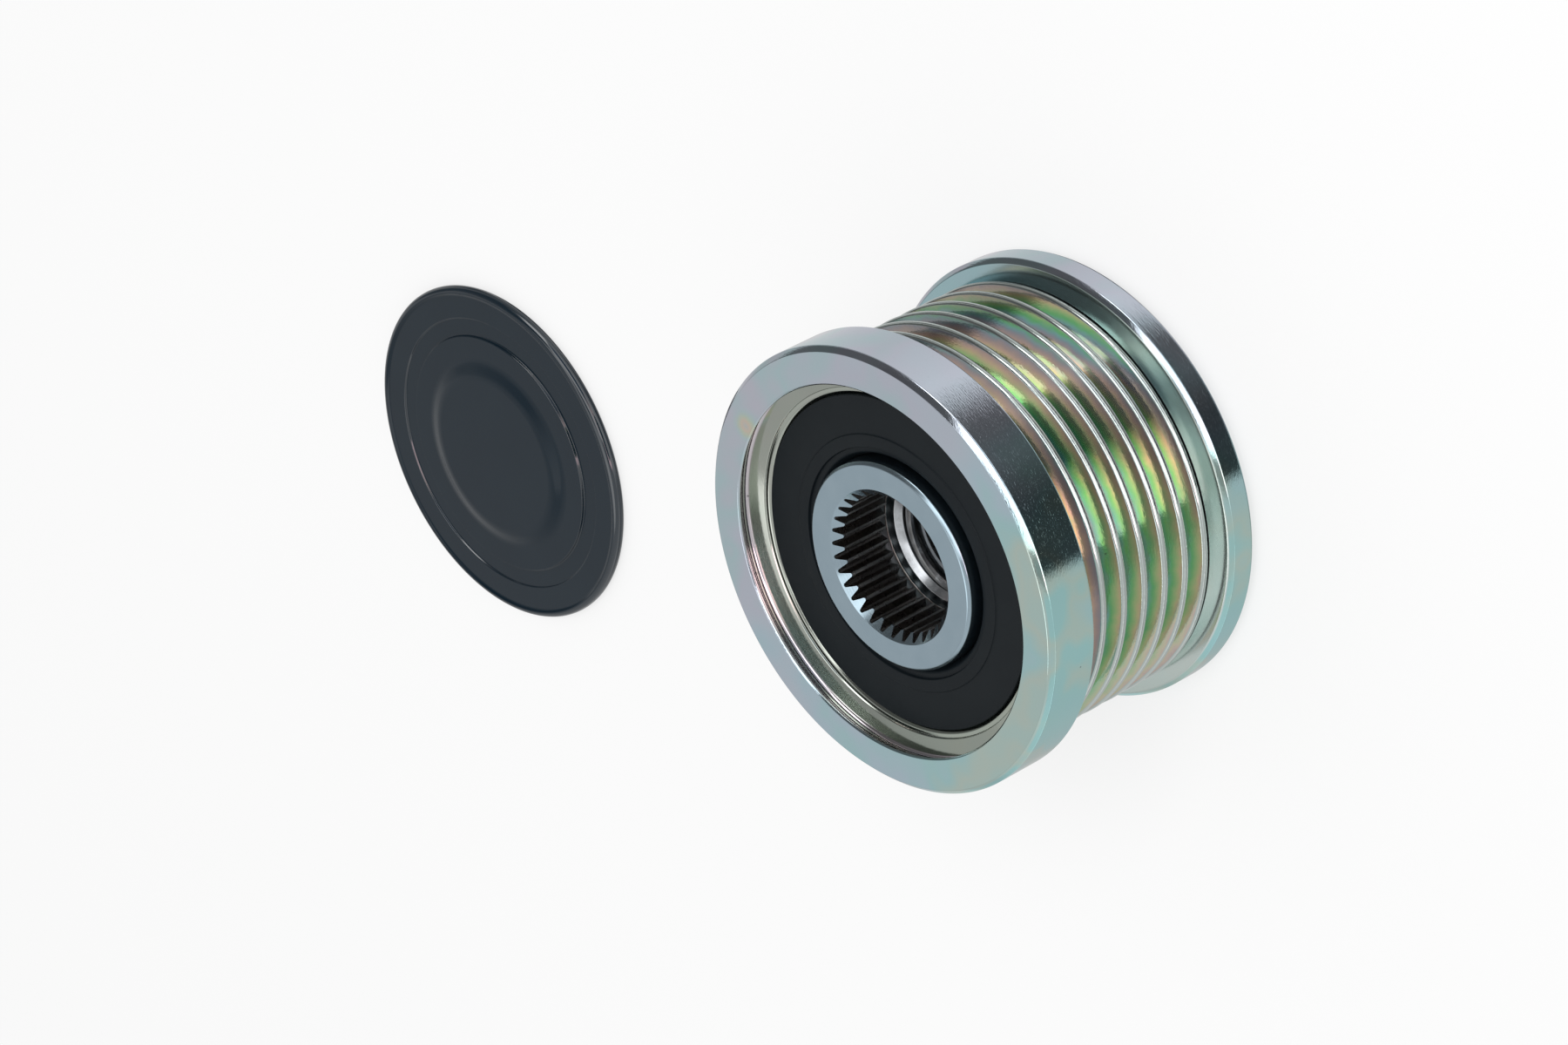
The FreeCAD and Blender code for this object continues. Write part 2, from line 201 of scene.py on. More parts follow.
rear_flange = [(CREST_R, 6.95, 0.12), (CREST_R - SLOT_DEPTH, SLOT_TOP, 0.02),
               (CREST_R - SLOT_DEPTH, SLOT_FOOT, 0.02), (CREST_R - 0.12, 6.52, 0.08),
               (25.0, SIDE_FACE, 0.1), (SIDE_FACE_R, SIDE_FACE, 0.08),
               (FLANGE_R, REAR_BEVEL_FOOT, 0.08), (FLANGE_R, RING_REAR, 0.5)]
bores = [(SEAL_SEAT_R, RING_REAR, 0.2), (SEAL_SEAT_R, SLEEVE_REAR, 0),
         (SLEEVE_SEAT_R, SLEEVE_REAR, 0.1), (SLEEVE_SEAT_R, SLEEVE_FRONT, 0.1),
         (SEAL_SEAT_R, SLEEVE_FRONT, 0)]
recess = [(SEAL_SEAT_R, 32.65, 0.08), (22.25, RECESS_FLOOR, 0.12), (22.72, RECESS_FLOOR, 0.03),
          (22.8, 33.35, 0.08), (RECESS_R, 34.1, 0.4), (RECESS_R, 34.8, 0.2), (24.1, 36.15, 0.08)]
pulley = turned_piece("belt_pulley_ring", front_flange + belt_track + rear_flange + bores + recess,
                      "ring_body", "pulley_ring")

# %% [markdown]
# ## The seals
# A rubber seal closes the pulley on each side, with a fine step on its face and a lip that runs on
# the hub. A seal is moulded in a round mould, so turning its outline gives the whole form. The fine
# step is only 0.15 mm high, but its edge is what shows in the picture.

# %% Turn both seals
front_seal_outline = [(SEAL_SEAT_R, 29.1, 0), (SEAL_SEAT_R, RECESS_FLOOR, 0.12),
                      (16.8, RECESS_FLOOR, 0.05), (16.7, 33.3, 0.05), (15.1, 33.3, 0.06),
                      (15.0, 32.9, 0.04), (14.3, 32.9, 0.25), (13.65, 31.45, 0.08),
                      (13.65, 31.15, 0.05), (14.5, 30.7, 0.1), (14.5, 29.1, 0)]
rear_seal_outline = [(SEAL_SEAT_R, 4.4, 0), (SEAL_SEAT_R, 1.7, 0.12), (16.8, 1.7, 0.05),
                     (16.7, 1.55, 0.05), (14.5, 1.55, 0.2), (12.55, 2.9, 0.08),
                     (12.55, 3.2, 0.05), (13.4, 3.65, 0.1), (13.4, 4.4, 0)]
front_seal = turned_piece("front_lip_seal", front_seal_outline, "ring_body", "front_seal")
rear_seal = turned_piece("rear_lip_seal", rear_seal_outline, "ring_body", "rear_seal")

# %% [markdown]
# ## The cap
# The cap is a thin moulded disc. Its bead snaps into the recess, and its face has a shallow step, a
# ridge, and a raised middle with soft shoulders, which is why those corners get longer roundings than
# the rest. Its outline ends on the axis at both ends, so it stays an open wire. The cap lies beside
# the pulley, so its mesh is moved there after it is turned.

# %% Turn the cap
CAP_R, CAP_PLACE = 24.9, (-119.0, 0, 0)
PLATEAU_R, SHOULDER_R, RIDGE_R, STEP_R = 11.9, 13.9, 17.6, 20.3

cap_face = [(0, 2.35, 0), (PLATEAU_R, 2.35, 0.7), (SHOULDER_R, 1.7, 0.6), (RIDGE_R, 1.7, 0.1),
            (17.72, 1.3, 0.08), (20.18, 1.3, 0.06), (STEP_R, 1.55, 0.08), (23.65, 1.55, 0.2),
            (24.0, 1.8, 0.05), (CAP_R, 1.8, 0.88)]
cap_underside = [(CAP_R, 0, 0.88), (23.65, 0, 0.1), (23.53, 0.55, 0.1), (SHOULDER_R, 0.55, 0.3),
                 (PLATEAU_R, 1.35, 0.3), (0, 1.35, 0)]
cap = turned_piece("dust_cap", cap_face + cap_underside, "hub_body", "end_cap",
                   closed=False, place=CAP_PLACE)

# %% [markdown]
# ## The hub
# The hub screws onto the rotor's thread and is turned by a splined tool, so its inside matters more
# than its outside. It is made of three surfaces that share the same number of steps around the axis,
# so that they join edge to edge: the turned outside, the thread, which is an outline spun with a rise,
# and the tooth wall, which is a circle whose dots are moved in and out.

# %% Turn the outside of the hub and its bores
HUB_STEPS = 264
HUB_FRONT, HUB_R, COLLAR_R, COLLAR_FOOT = 34.45, 12.5, 13.6, 28.2
SOCKET_FOOT, SOCKET_END = 26.15, 24.85
COUNTERSINK_R, SOCKET_RELIEF_R, SHAFT_BORE_R = 10.1, 10.2, 8.5
THREAD_R, THREAD_CREST_R, THREAD_PITCH = 8.0, 7.3, 1.5
THREAD_FOOT, THREAD_TOP = 12.4, 24.1

behind_teeth = [(SOCKET_RELIEF_R, SOCKET_FOOT, 0), (SOCKET_RELIEF_R, SOCKET_END, 0.3),
                (8.75, SOCKET_END, 0.06), (THREAD_R, THREAD_TOP, 0)]
hub_outside = [(THREAD_R, THREAD_FOOT, 0), (SHAFT_BORE_R, THREAD_FOOT, 0.05),
               (SHAFT_BORE_R, 0.5, 0.05), (9.0, 0, 0.05), (11.9, 0, 0.08), (HUB_R, 0.6, 0.08),
               (HUB_R, COLLAR_FOOT, 0.1), (COLLAR_R, COLLAR_FOOT, 0.1),
               (COLLAR_R, HUB_FRONT - 0.4, 0.12), (13.2, HUB_FRONT, 0.12),
               (COUNTERSINK_R, HUB_FRONT, 0)]
hub_mesh = bmesh.new()
draw_outline(hub_mesh, behind_teeth, closed=False)
draw_outline(hub_mesh, hub_outside, closed=False)
turn_outline(hub_mesh, HUB_STEPS)
print("the plain hub has", len(hub_mesh.faces), "faces")

# %% [markdown]
# A spin that also rises makes a screw. The outline below is a row of thread ridges, one pitch apart.
# Spun once around with a rise of one pitch, each ridge meets the next. What sticks out at either end
# is pressed flat onto the end of the thread, along a cone, which is how a real thread runs out.

# %% Cut the thread
RIDGE = ((0.0, 0.0), (0.12, 0.0), (0.62, 1.0), (0.88, 1.0))  # along the pitch, and up the ridge
HUB_WELD_DISTANCE = 2e-6


def run_out(dot):
    """Keep a dot of the thread between its ends, and outside the cone at either end."""
    height = min(max(dot.co.z, THREAD_FOOT * MM), THREAD_TOP * MM)
    from_end = min(height - THREAD_FOOT * MM, THREAD_TOP * MM - height)
    radius = math.hypot(dot.co.x, dot.co.y)
    wanted = max(radius, THREAD_R * MM - from_end)
    dot.co = (dot.co.x * wanted / radius, dot.co.y * wanted / radius, height)


turns = math.ceil((THREAD_TOP - THREAD_FOOT) / THREAD_PITCH) + 1
ridge_corners = [(THREAD_R + (THREAD_CREST_R - THREAD_R) * up,
                  THREAD_FOOT + (turn - 1 + along) * THREAD_PITCH, 0)
                 for turn in range(turns) for along, up in RIDGE]
ridge_corners.append((THREAD_R, THREAD_FOOT + (turns - 1) * THREAD_PITCH, 0))

thread_mesh = bmesh.new()
draw_outline(thread_mesh, ridge_corners, closed=False)
bmesh.ops.spin(thread_mesh, geom=thread_mesh.verts[:] + thread_mesh.edges[:], cent=(0, 0, 0),
               axis=(0, 0, 1), dvec=(0, 0, THREAD_PITCH * MM / HUB_STEPS), angle=math.tau,
               steps=HUB_STEPS)
print("the thread rises to", round(max(dot.co.z for dot in thread_mesh.verts) / MM, 2), "mm")
for dot in thread_mesh.verts:
    run_out(dot)
bmesh.ops.remove_doubles(thread_mesh, verts=thread_mesh.verts[:], dist=HUB_WELD_DISTANCE)
bmesh.ops.dissolve_degenerate(thread_mesh, dist=WELD_DISTANCE, edges=thread_mesh.edges[:])
thread_part = bpy.data.meshes.new("thread")
thread_mesh.to_mesh(thread_part)
thread_mesh.free()
hub_mesh.from_mesh(thread_part)

# %% [markdown]
# The tool socket has 33 teeth. Its wall grows out of the rim of the hub's front face: the rim is
# extruded, and the new dots are moved to where the teeth want them. Each tooth takes eight dots, and
# the list below says how far out each of them stands. Moving the dots of a circle is simpler than
# drawing a tooth and repeating it, and no two teeth have to be joined.

# %% Shape the teeth of the tool socket
TOOTH_ROOT_R, TOOTH_TIP_R = 9.95, 8.9
TOOTH_FORM = (1.0, 0.93, 0.50, 0.07, 0.0, 0.07, 0.50, 0.93)  # from root to tip and back
COUNTERSINK_DEPTH = 1.2
SLOPE = COUNTERSINK_DEPTH / (COUNTERSINK_R - TOOTH_TIP_R)


def tooth_radius(angle):
    dot_number = round(angle / math.tau * HUB_STEPS)
    return TOOTH_TIP_R + (TOOTH_ROOT_R - TOOTH_TIP_R) * TOOTH_FORM[dot_number % len(TOOTH_FORM)]


def extrude_rim(rim, radius_of, height_of):
    """Extrude the edges of a rim and move their new dots; returns the new rim."""
    grown = bmesh.ops.extrude_edge_only(hub_mesh, edges=rim)["geom"]
    for dot in (part for part in grown if isinstance(part, bmesh.types.BMVert)):
        angle = math.atan2(dot.co.y, dot.co.x)
        radius = radius_of(angle)
        dot.co = Vector((radius * math.cos(angle), radius * math.sin(angle), height_of(radius))) * MM
    return [part for part in grown if isinstance(part, bmesh.types.BMEdge) and part.is_boundary]


def on_front_rim(dot):
    from_axis = math.hypot(dot.co.x, dot.co.y)
    return abs(dot.co.z - HUB_FRONT * MM) < WELD_DISTANCE and from_axis < (COUNTERSINK_R + 0.01) * MM


print("a tooth takes", len(TOOTH_FORM), "dots, so", HUB_STEPS, "steps make",
      HUB_STEPS // len(TOOTH_FORM), "teeth")

# %% [markdown]
# The countersink is a cone of 45 degrees that cuts across the teeth, so a dot that stands further out
# also stands higher. Two more extrusions make the wall and close it to the relief groove behind the
# teeth. Dots that fall on each other are then merged, which makes one closed skin of the hub.

# %% Grow the socket's wall and finish the hub
front_rim = [edge for edge in hub_mesh.edges
             if edge.is_boundary and all(on_front_rim(dot) for dot in edge.verts)]
front_teeth = extrude_rim(front_rim, tooth_radius,
                          lambda radius: HUB_FRONT - SLOPE * (COUNTERSINK_R - radius))
rear_teeth = extrude_rim(front_teeth, tooth_radius, lambda radius: SOCKET_FOOT)
extrude_rim(rear_teeth, lambda angle: SOCKET_RELIEF_R, lambda radius: SOCKET_FOOT)
bmesh.ops.remove_doubles(hub_mesh, verts=hub_mesh.verts[:], dist=HUB_WELD_DISTANCE)
print("the rims have", len(front_rim), len(front_teeth), "and", len(rear_teeth), "edges")
hub = finish_piece(hub_mesh, "splined_hub", "hub_body", "hub")

# %% [markdown]
# ## Writing shaders as sums
# A finish is a small calculation over the surface. Wiring every sum by hand hides the idea, so the
# class below wraps a socket: adding or multiplying two of them adds the Math node that does it. All
# other nodes come from one method that takes the kind of node, its settings and its inputs.

# %% A class for sockets
class Wire:
    """A socket that takes part in sums."""

    def __init__(self, sheet, socket):
        self.sheet = sheet
        self.socket = socket

    def maths(self, operation, *values):
        return self.sheet.node("ShaderNodeMath", {"operation": operation}, dict(enumerate(values)))

    def __add__(self, other):
        return self.maths("ADD", self, other)

    def __sub__(self, other):
        return self.maths("SUBTRACT", self, other)

    def __rsub__(self, other):
        return self.maths("SUBTRACT", other, self)

    def __mul__(self, other):
        return self.maths("MULTIPLY", self, other)

    def __truediv__(self, other):
        return self.maths("DIVIDE", self, other)

    def __pow__(self, power):
        return self.maths("POWER", self, power)

    def floor(self):
        return self.maths("FLOOR", self)

    def wrapped(self):
        """What is left after the whole number, so that a ramp starts again at each whole number."""
        return self.maths("FRACT", self)

    def bearing_from(self, east):
        """The angle, in radians, of a point that lies self to the north and east to the east."""
        return self.maths("ARCTAN2", self, east)

    __radd__ = __add__
    __rmul__ = __mul__


print("a wire can be added, subtracted, multiplied, divided and raised to a power")

# %% [markdown]
# The second class stands for a whole node tree. Its short methods name what the finishes need again
# and again: a ramp of colours, a soft step, a band between two values, a mix, two kinds of noise.

# %% A class for node trees
class Sheet:
    """A node tree that is filled by calls."""

    def __init__(self, owner):
        owner.use_nodes = True
        self.tree = owner.node_tree
        self.tree.nodes.clear()

    def node(self, kind, settings=None, inputs=None, output=0):
        made = self.tree.nodes.new(kind)
        for name, value in (settings or {}).items():
            setattr(made, name, value)
        for key, value in (inputs or {}).items():
            if isinstance(value, Wire):
                self.tree.links.new(value.socket, made.inputs[key])
            else:
                made.inputs[key].default_value = value
        return Wire(self, made.outputs[output]) if made.outputs else made

    def ramp(self, value, stops):
        """A colour ramp with stops (position, colour); a colour may be one grey value."""
        made = self.node("ShaderNodeValToRGB", None, {"Fac": value})
        elements = made.socket.node.color_ramp.elements
        while len(elements) < len(stops):
            elements.new(0.5)
        for element, (position, colour) in zip(elements, stops):
            element.position = position
            element.color = (*colour, 1) if isinstance(colour, tuple) else (colour, colour, colour, 1)
        return made

    def step(self, value, low, high):
        """0 below low, 1 above high, and a soft slope between."""
        return self.node("ShaderNodeMapRange", {"interpolation_type": "SMOOTHSTEP"},
                         {"Value": value, "From Min": low, "From Max": high})

    def between(self, value, low, high, soft):
        """1 between low and high, 0 outside, and a soft slope at both ends."""
        return self.step(value, low - soft, low + soft) * (1 - self.step(value, high - soft, high + soft))

    def mix(self, share, one, other):
        """Two colours by a share."""
        return self.node("ShaderNodeMix", {"data_type": "RGBA"},
                         {0: share, 6: as_colour(one), 7: as_colour(other)}, 2)

    def noise(self, place, scale, detail):
        return self.node("ShaderNodeTexNoise", None, {"Vector": place, "Scale": scale, "Detail": detail})

    def noise_along(self, value, scale, detail):
        """Noise that changes along one value only, such as the marks of a lathe."""
        return self.node("ShaderNodeTexNoise", {"noise_dimensions": "1D"},
                         {"W": value, "Scale": scale, "Detail": detail})

    def vector(self, x, y, z):
        return self.node("ShaderNodeCombineXYZ", None, {0: x, 1: y, 2: z})

    def apart(self, vector):
        """The three parts of a vector, as wires."""
        parts = self.node("ShaderNodeSeparateXYZ", None, {0: vector})
        return [Wire(self, socket) for socket in parts.socket.node.outputs]

    def bump(self, height, depth):
        """A relief of a depth in millimetres."""
        return self.node("ShaderNodeBump", None,
                         {"Height": height, "Distance": depth * MM, "Strength": 1.0})


def as_colour(value):
    return value if isinstance(value, Wire) else (*value, 1)


print("a sheet has", sum(not name.startswith("_") for name in vars(Sheet)), "methods")

# %% [markdown]
# Every finish starts from where the point lies on its piece. Object coordinates are used for that,
# because they stay with the piece when it turns. A point's distance from the axis and its angle
# around it describe a turned piece better than x and y do.
#
# Every finish ends in the same shader, the Principled BSDF. What is the same all over a piece is set
# on the shader's own sockets, and only what changes over the surface is wired to it.

# %% Helpers that open and close a material
class Place:
    """Where a point of the surface is, in millimetres: x, y, z, distance from the axis, and angle."""

    def __init__(self, sheet, centre=(0, 0, 0)):
        metres = sheet.node("ShaderNodeTexCoord", output=3)
        scaled = sheet.node("ShaderNodeVectorMath", {"operation": "SCALE"}, {0: metres, "Scale": 1 / MM})
        self.point = sheet.node("ShaderNodeVectorMath", {"operation": "SUBTRACT"}, {0: scaled, 1: centre})
        self.x, self.y, self.z = sheet.apart(self.point)
        self.radius = (self.x * self.x + self.y * self.y) ** 0.5
        self.angle = self.y.bearing_from(self.x) * math.degrees(1)


def material(name, metallic, paint):
    """paint fills a sheet and returns the values and wires of the shader's sockets."""
    made = bpy.data.materials.new(name)
    sheet = Sheet(made)
    sockets = {"Metallic": metallic, **paint(sheet)}
    shader = sheet.node("ShaderNodeBsdfPrincipled", None, sockets)
    sheet.node("ShaderNodeOutputMaterial", None, {"Surface": shader})
    print("material", name, "has", len(sheet.tree.nodes), "nodes")
    return made


# %% [markdown]
# ## Plated steel: the film on the flanges
# The ring is zinc plated and then dipped, which leaves a film so thin that it shows colours like a
# soap bubble. On the flanges the film is even: a bluish silver that turns greenish to one side. A
# value that grows slowly across the ring, with two large noises in it, chooses from a ramp of
# colours that lie close together. A painted picture would do as well, but a ramp has no seam and no
# fixed resolution.

# %% The even film of the flanges
EVEN_FILM = [(0.0, (0.60, 0.61, 0.69)), (0.14, (0.51, 0.65, 0.69)), (0.28, (0.59, 0.62, 0.71)),
             (0.42, (0.57, 0.64, 0.72)), (0.54, (0.52, 0.65, 0.73)), (0.68, (0.45, 0.68, 0.69)),
             (0.79, (0.52, 0.67, 0.61)), (0.86, (0.41, 0.69, 0.68)), (1.0, (0.40, 0.68, 0.70))]
PALE_GREEN = (0.59, 0.66, 0.60)


def even_film(sheet, place, drift, patches):
    """Silver that turns from bluish to greenish across the ring, and paler on the front face."""
    across = place.x * 0.0090 - place.y * 0.0105 + 0.46
    across = across + (drift - 0.5) * 0.5 + (patches - 0.5) * 0.5
    film = sheet.ramp(across, EVEN_FILM)
    on_face = sheet.step(place.z, RING_FRONT - 0.3, RING_FRONT - 0.1)
    return sheet.mix(on_face * sheet.step(across, 0.66, 0.82) * 0.6, film, PALE_GREEN)


print("the even film has", len(EVEN_FILM), "colours")

# %% [markdown]
# ## Plated steel: the film in the grooves
# In the grooves the film is thicker, and its thickness changes from root to crest, so it runs
# through green, yellow, orange and brown. The part hung tilted in its bath, so the film also grows
# toward the rear and to one side, and the first groove has a stronger one of its own. A ramp that
# closes on itself stands for the colours, since they come again as a film grows. Light is reflected
# two or three times in a groove, which deepens the colours by itself, so the ramp's own are pale.

# %% The thicker film of the grooves
GROOVE_FILM = [(0.0, (0.43, 0.61, 0.58)), (0.14, (0.37, 0.64, 0.41)), (0.30, (0.56, 0.68, 0.46)),
               (0.44, (0.70, 0.67, 0.50)), (0.56, (0.71, 0.60, 0.53)), (0.68, (0.61, 0.54, 0.52)),
               (0.82, (0.53, 0.52, 0.55)), (0.92, (0.45, 0.55, 0.57)), (1.0, (0.43, 0.61, 0.58))]
BELT_LENGTH = 18.0


def groove_film(sheet, place, drift, fine):
    """Colours by the film's thickness, where 1 is once through the ramp."""
    height = (place.radius - ROOT_R) / (CREST_R - ROOT_R)
    first_groove = sheet.step(place.z, FIRST_CREST, FIRST_CREST + 0.6)
    toward_rear = (FIRST_CREST - place.z) / BELT_LENGTH
    hung = (place.y + 8.0) ** 2 * 0.0009
    groove_number = ((place.z - FIRST_CREST) / GROOVE_PITCH).floor()
    own = sheet.noise_along(groove_number + 7.3, 0.8, 0.0)
    thickness = height * 0.85 - 0.25 + place.y * 0.005 + first_groove * 0.32
    thickness = thickness + toward_rear * hung + (own - 0.5) * 0.06
    thickness = thickness + (drift - 0.5) * 0.25 + (fine - 0.5) * 0.4
    return sheet.ramp(thickness.wrapped(), GROOVE_FILM)


print("the film of the grooves has", len(GROOVE_FILM) - 1, "colours, and the last is the first again")

# %% [markdown]
# ## Plated steel: where each film lies
# The films differ from zone to zone: the crests are rubbed pale, the recess is painted darker as
# shade with a painted lilac highlight in its corner, the side of the rear flange goes from pale to
# blue with painted bands of reflection, and the slot behind the last crest is painted near black as
# shade. Each zone is a band of radius times a band of height, which fits a turned piece exactly and
# needs no painted mask.

# %% Where the zones of the ring lie
CREST_EDGE_R = CREST_R - 0.26


def ring_zones(sheet, place):
    """For each zone, a share that is 1 inside and 0 outside."""
    in_belt = sheet.between(place.z, 6.4, 29.0, 0.2)
    return {
        "groove": sheet.between(place.radius, ROOT_R - 0.5, CREST_EDGE_R, 0.06) * in_belt,
        "crest": sheet.between(place.radius, CREST_EDGE_R, CREST_R + 0.3, 0.05) * in_belt,
        "recess": sheet.between(place.radius, 21.0, 25.3, 0.1) * sheet.between(place.z, 32.0, 36.2, 0.1),
        "corner": sheet.between(place.radius, 24.75, 25.3, 0.06)
        * sheet.between(place.z, 33.8, 34.55, 0.1),
        "side": sheet.between(place.z, 5.0, 6.6, 0.05) * sheet.between(place.radius, 24.4, 28.5, 0.1),
        "slot": sheet.between(place.z, 6.50, 6.92, 0.02)
        * sheet.between(place.radius, CREST_R - 0.6, CREST_R - 0.04, 0.03)}


print("the crest's colour begins", round(CREST_EDGE_R, 2), "mm from the axis")

# %% [markdown]
# ## Plated steel: the side film with painted reflection, a stain and pits
# The side of the rear flange shows a film of its own that turns blue toward one edge, and over it
# painted lighter and darker bands of reflection, palest a quarter of the way across the ring. A drop
# that dried on the front face has left rings of colour. A ramp over the distance from its middle
# makes them, with some noise so that they are uneven. A few tiny pits are scattered by a Voronoi
# texture, which gives each of them its own place.

# %% The side of the rear flange, the stain and the pits
# The pale and dark stops of the side film are painted bands of reflection.
SIDE_FILM_AND_PAINTED_REFLECTION = [(0.0, (0.62, 0.71, 0.67)), (0.25, (0.90, 0.95, 0.93)), (0.37, (0.84, 0.90, 0.87)),
             (0.50, (0.64, 0.72, 0.69)), (0.62, (0.66, 0.74, 0.71)), (0.72, (0.55, 0.63, 0.61)),
             (0.80, (0.64, 0.71, 0.67)), (1.0, (0.5, 0.6, 0.62))]
SIDE_BLUE = (0.42, 0.62, 0.66)
STAIN = (-16.9, 18.6, RING_FRONT)
STAIN_R = 3.2
STAIN_RINGS = [(0.0, (0.62, 0.62, 0.58)), (0.25, (0.74, 0.62, 0.50)), (0.45, (0.60, 0.68, 0.52)),
               (0.65, (0.50, 0.68, 0.66)), (1.0, (0.58, 0.62, 0.72))]


def side_film_and_painted_reflection(sheet, place, drift):
    """A film across the side of the rear flange, with painted lighter and darker bands of reflection."""
    film = sheet.ramp((place.y + FLANGE_R) / (2 * FLANGE_R), SIDE_FILM_AND_PAINTED_REFLECTION)
    blue = sheet.step(place.y - place.x + (drift - 0.5) * 8, 22.0, 33.0)
    return sheet.mix(blue, film, SIDE_BLUE)


def stain(sheet, place, fine):
    """The share of the dried drop, and its rings of colour."""
    distance = sheet.node("ShaderNodeVectorMath", {"operation": "DISTANCE"},
                          {0: place.point, 1: STAIN}, "Value")
    rings = sheet.ramp((distance + (fine - 0.5) * 1.6) / STAIN_R, STAIN_RINGS)
    return (1 - sheet.step(distance, 0.6, 3.0)) * 0.9, rings


def pitted(sheet, place):
    to_nearest = sheet.node("ShaderNodeTexVoronoi", None, {"Vector": place.point, "Scale": 0.16})
    return 1 - sheet.step(to_nearest, 0.016, 0.030)


print("the stain lies", round(math.hypot(*STAIN[:2]), 1), "mm from the axis")

# %% [markdown]
# ## Plated steel: marks, and all of it together
# Plating follows what lies below it. A lathe leaves marks that run around, so they are noise along
# radius and height only. Over them lies a faint skin, drawn out around the ring. Its relief is only a
# hundredth of a millimetre, and it shows only where a reflection ends, as small dashes. The colours
# are laid over each other as layers, each with the share of the surface that it covers.

# %% Plated steel
# The recess colour below is painted shade, and the lilac corner colour is a painted highlight.
CREST_PALE, RECESS_PAINTED_SHADE, LILAC_PAINTED_HIGHLIGHT = (0.56, 0.62, 0.60), (0.47, 0.49, 0.42), (0.68, 0.62, 0.67)
# The dark slot colour below is painted shade. The pit colour is the pits' own.
SLOT_PAINTED_SHADE, PIT_DARK = (0.03, 0.04, 0.045), (0.12, 0.13, 0.13)
PLATING_RELIEF = 0.011


def paint_plating(sheet):
    place = Place(sheet)
    drift = sheet.noise(place.point, 0.07, 2.0)
    patches = sheet.noise(place.point, 0.16, 1.0)
    fine = sheet.noise(place.point, 0.45, 3.0)
    zone = ring_zones(sheet, place)
    pits = pitted(sheet, place)

    colour = even_film(sheet, place, drift, patches)
    # Some layers are painted light: shade in the recess, a highlight in its corner, bands of reflection
    # on the rear side, and shade in the slot.
    for share, layer in ((zone["groove"], groove_film(sheet, place, drift, fine)),
                         (zone["crest"], CREST_PALE), (zone["recess"] * 0.85, RECESS_PAINTED_SHADE),
                         (zone["corner"] * 0.8, LILAC_PAINTED_HIGHLIGHT),
                         (zone["side"] * 0.9, side_film_and_painted_reflection(sheet, place, drift)),
                         (zone["slot"] * 0.9, SLOT_PAINTED_SHADE), stain(sheet, place, fine),
                         (pits * 0.7, PIT_DARK)):
        colour = sheet.mix(share, colour, layer)

    marks = sheet.noise_along(place.radius + place.z * 1.37, 2.6, 4.0)
    around_ring = place.angle * 0.5
    skin_place = sheet.vector(around_ring * 1.6, place.z * 6.0 + around_ring * 1.2, place.radius * 5.0)
    skin = sheet.noise(skin_place, 1.0, 4.0)
    rough = 0.02 + marks * 0.03 + skin * 0.03 + zone["groove"] * 0.01 + pits * 0.3
    rough = rough + zone["side"] * 0.13 + zone["recess"] * 0.06
    relief = (marks * 0.4 + skin) * (1 - zone["recess"] * 0.7)
    relief = relief * (1 - zone["side"] * 0.95) * (1 - zone["groove"] * 0.5)
    return {"Base Color": colour, "Roughness": rough, "Normal": sheet.bump(relief, PLATING_RELIEF)}


plated_steel = material("plated_steel", 1.0, paint_plating)

# %% [markdown]
# ## Hardened steel and thin sheet
# The sleeves, rollers and needles inside are ground and hardened, so they are bright and smooth. The
# washers and the springs are thin sheet, a little duller. One function paints them all: what differs
# is the colour, the gloss, and how coarse and how deep the grinding marks are.

# %% Bare steel in several finishes
def bare_steel(name, colour, roughness, coarse, depth):
    def paint(sheet):
        place = Place(sheet)
        marks = sheet.noise_along(place.radius * 1.1 + place.z, coarse, 4.0)
        cloud = sheet.noise(place.point, 0.4, 3.0)
        darker = tuple(0.88 * part for part in colour)
        lighter = tuple(min(1, 1.1 * part) for part in colour)
        return {"Base Color": sheet.mix(cloud, darker, lighter),
                "Roughness": roughness + marks * 0.08 + cloud * 0.05, "Normal": sheet.bump(marks, depth)}
    return material(name, 1.0, paint)


race_steel = bare_steel("race_steel", (0.62, 0.63, 0.64), 0.12, 6.0, 0.001)
roller_steel = bare_steel("roller_steel", (0.66, 0.67, 0.68), 0.10, 8.0, 0.0006)
washer_steel = bare_steel("washer_steel", (0.55, 0.56, 0.57), 0.25, 4.0, 0.003)
spring_steel = bare_steel("spring_steel", (0.50, 0.47, 0.42), 0.22, 5.0, 0.001)

# %% [markdown]
# ## The hub's steel
# The hub is bare steel without plating. Its end is ground and a little bluish. The socket is painted
# dark as shade, with a mottled tone, while the tips of its teeth are lighter, partly from wear by the
# tool and partly as a painted highlight. The thread is bright too, with painted shade in its valleys.
# Radius and height tell these zones apart, and the cone of the countersink is the border between the
# ground end and the shaded teeth.

# %% The hub's steel
GROUND_DARK, GROUND_LIGHT = (0.36, 0.47, 0.54), (0.42, 0.53, 0.60)
# The two socket colours below are painted shade. The tip colour is partly wear and partly a painted
# highlight.
SOCKET_SHADE_DARK, SOCKET_SHADE_LIGHT, TIP_WEAR_AND_HIGHLIGHT = (0.13, 0.118, 0.108), (0.27, 0.25, 0.235), (0.50, 0.50, 0.49)
# The dark valley colour below is painted shade in the roots of the thread.
THREAD_DARK, THREAD_LIGHT, VALLEY_PAINTED_SHADE = (0.44, 0.46, 0.48), (0.66, 0.69, 0.72), (0.10, 0.10, 0.10)


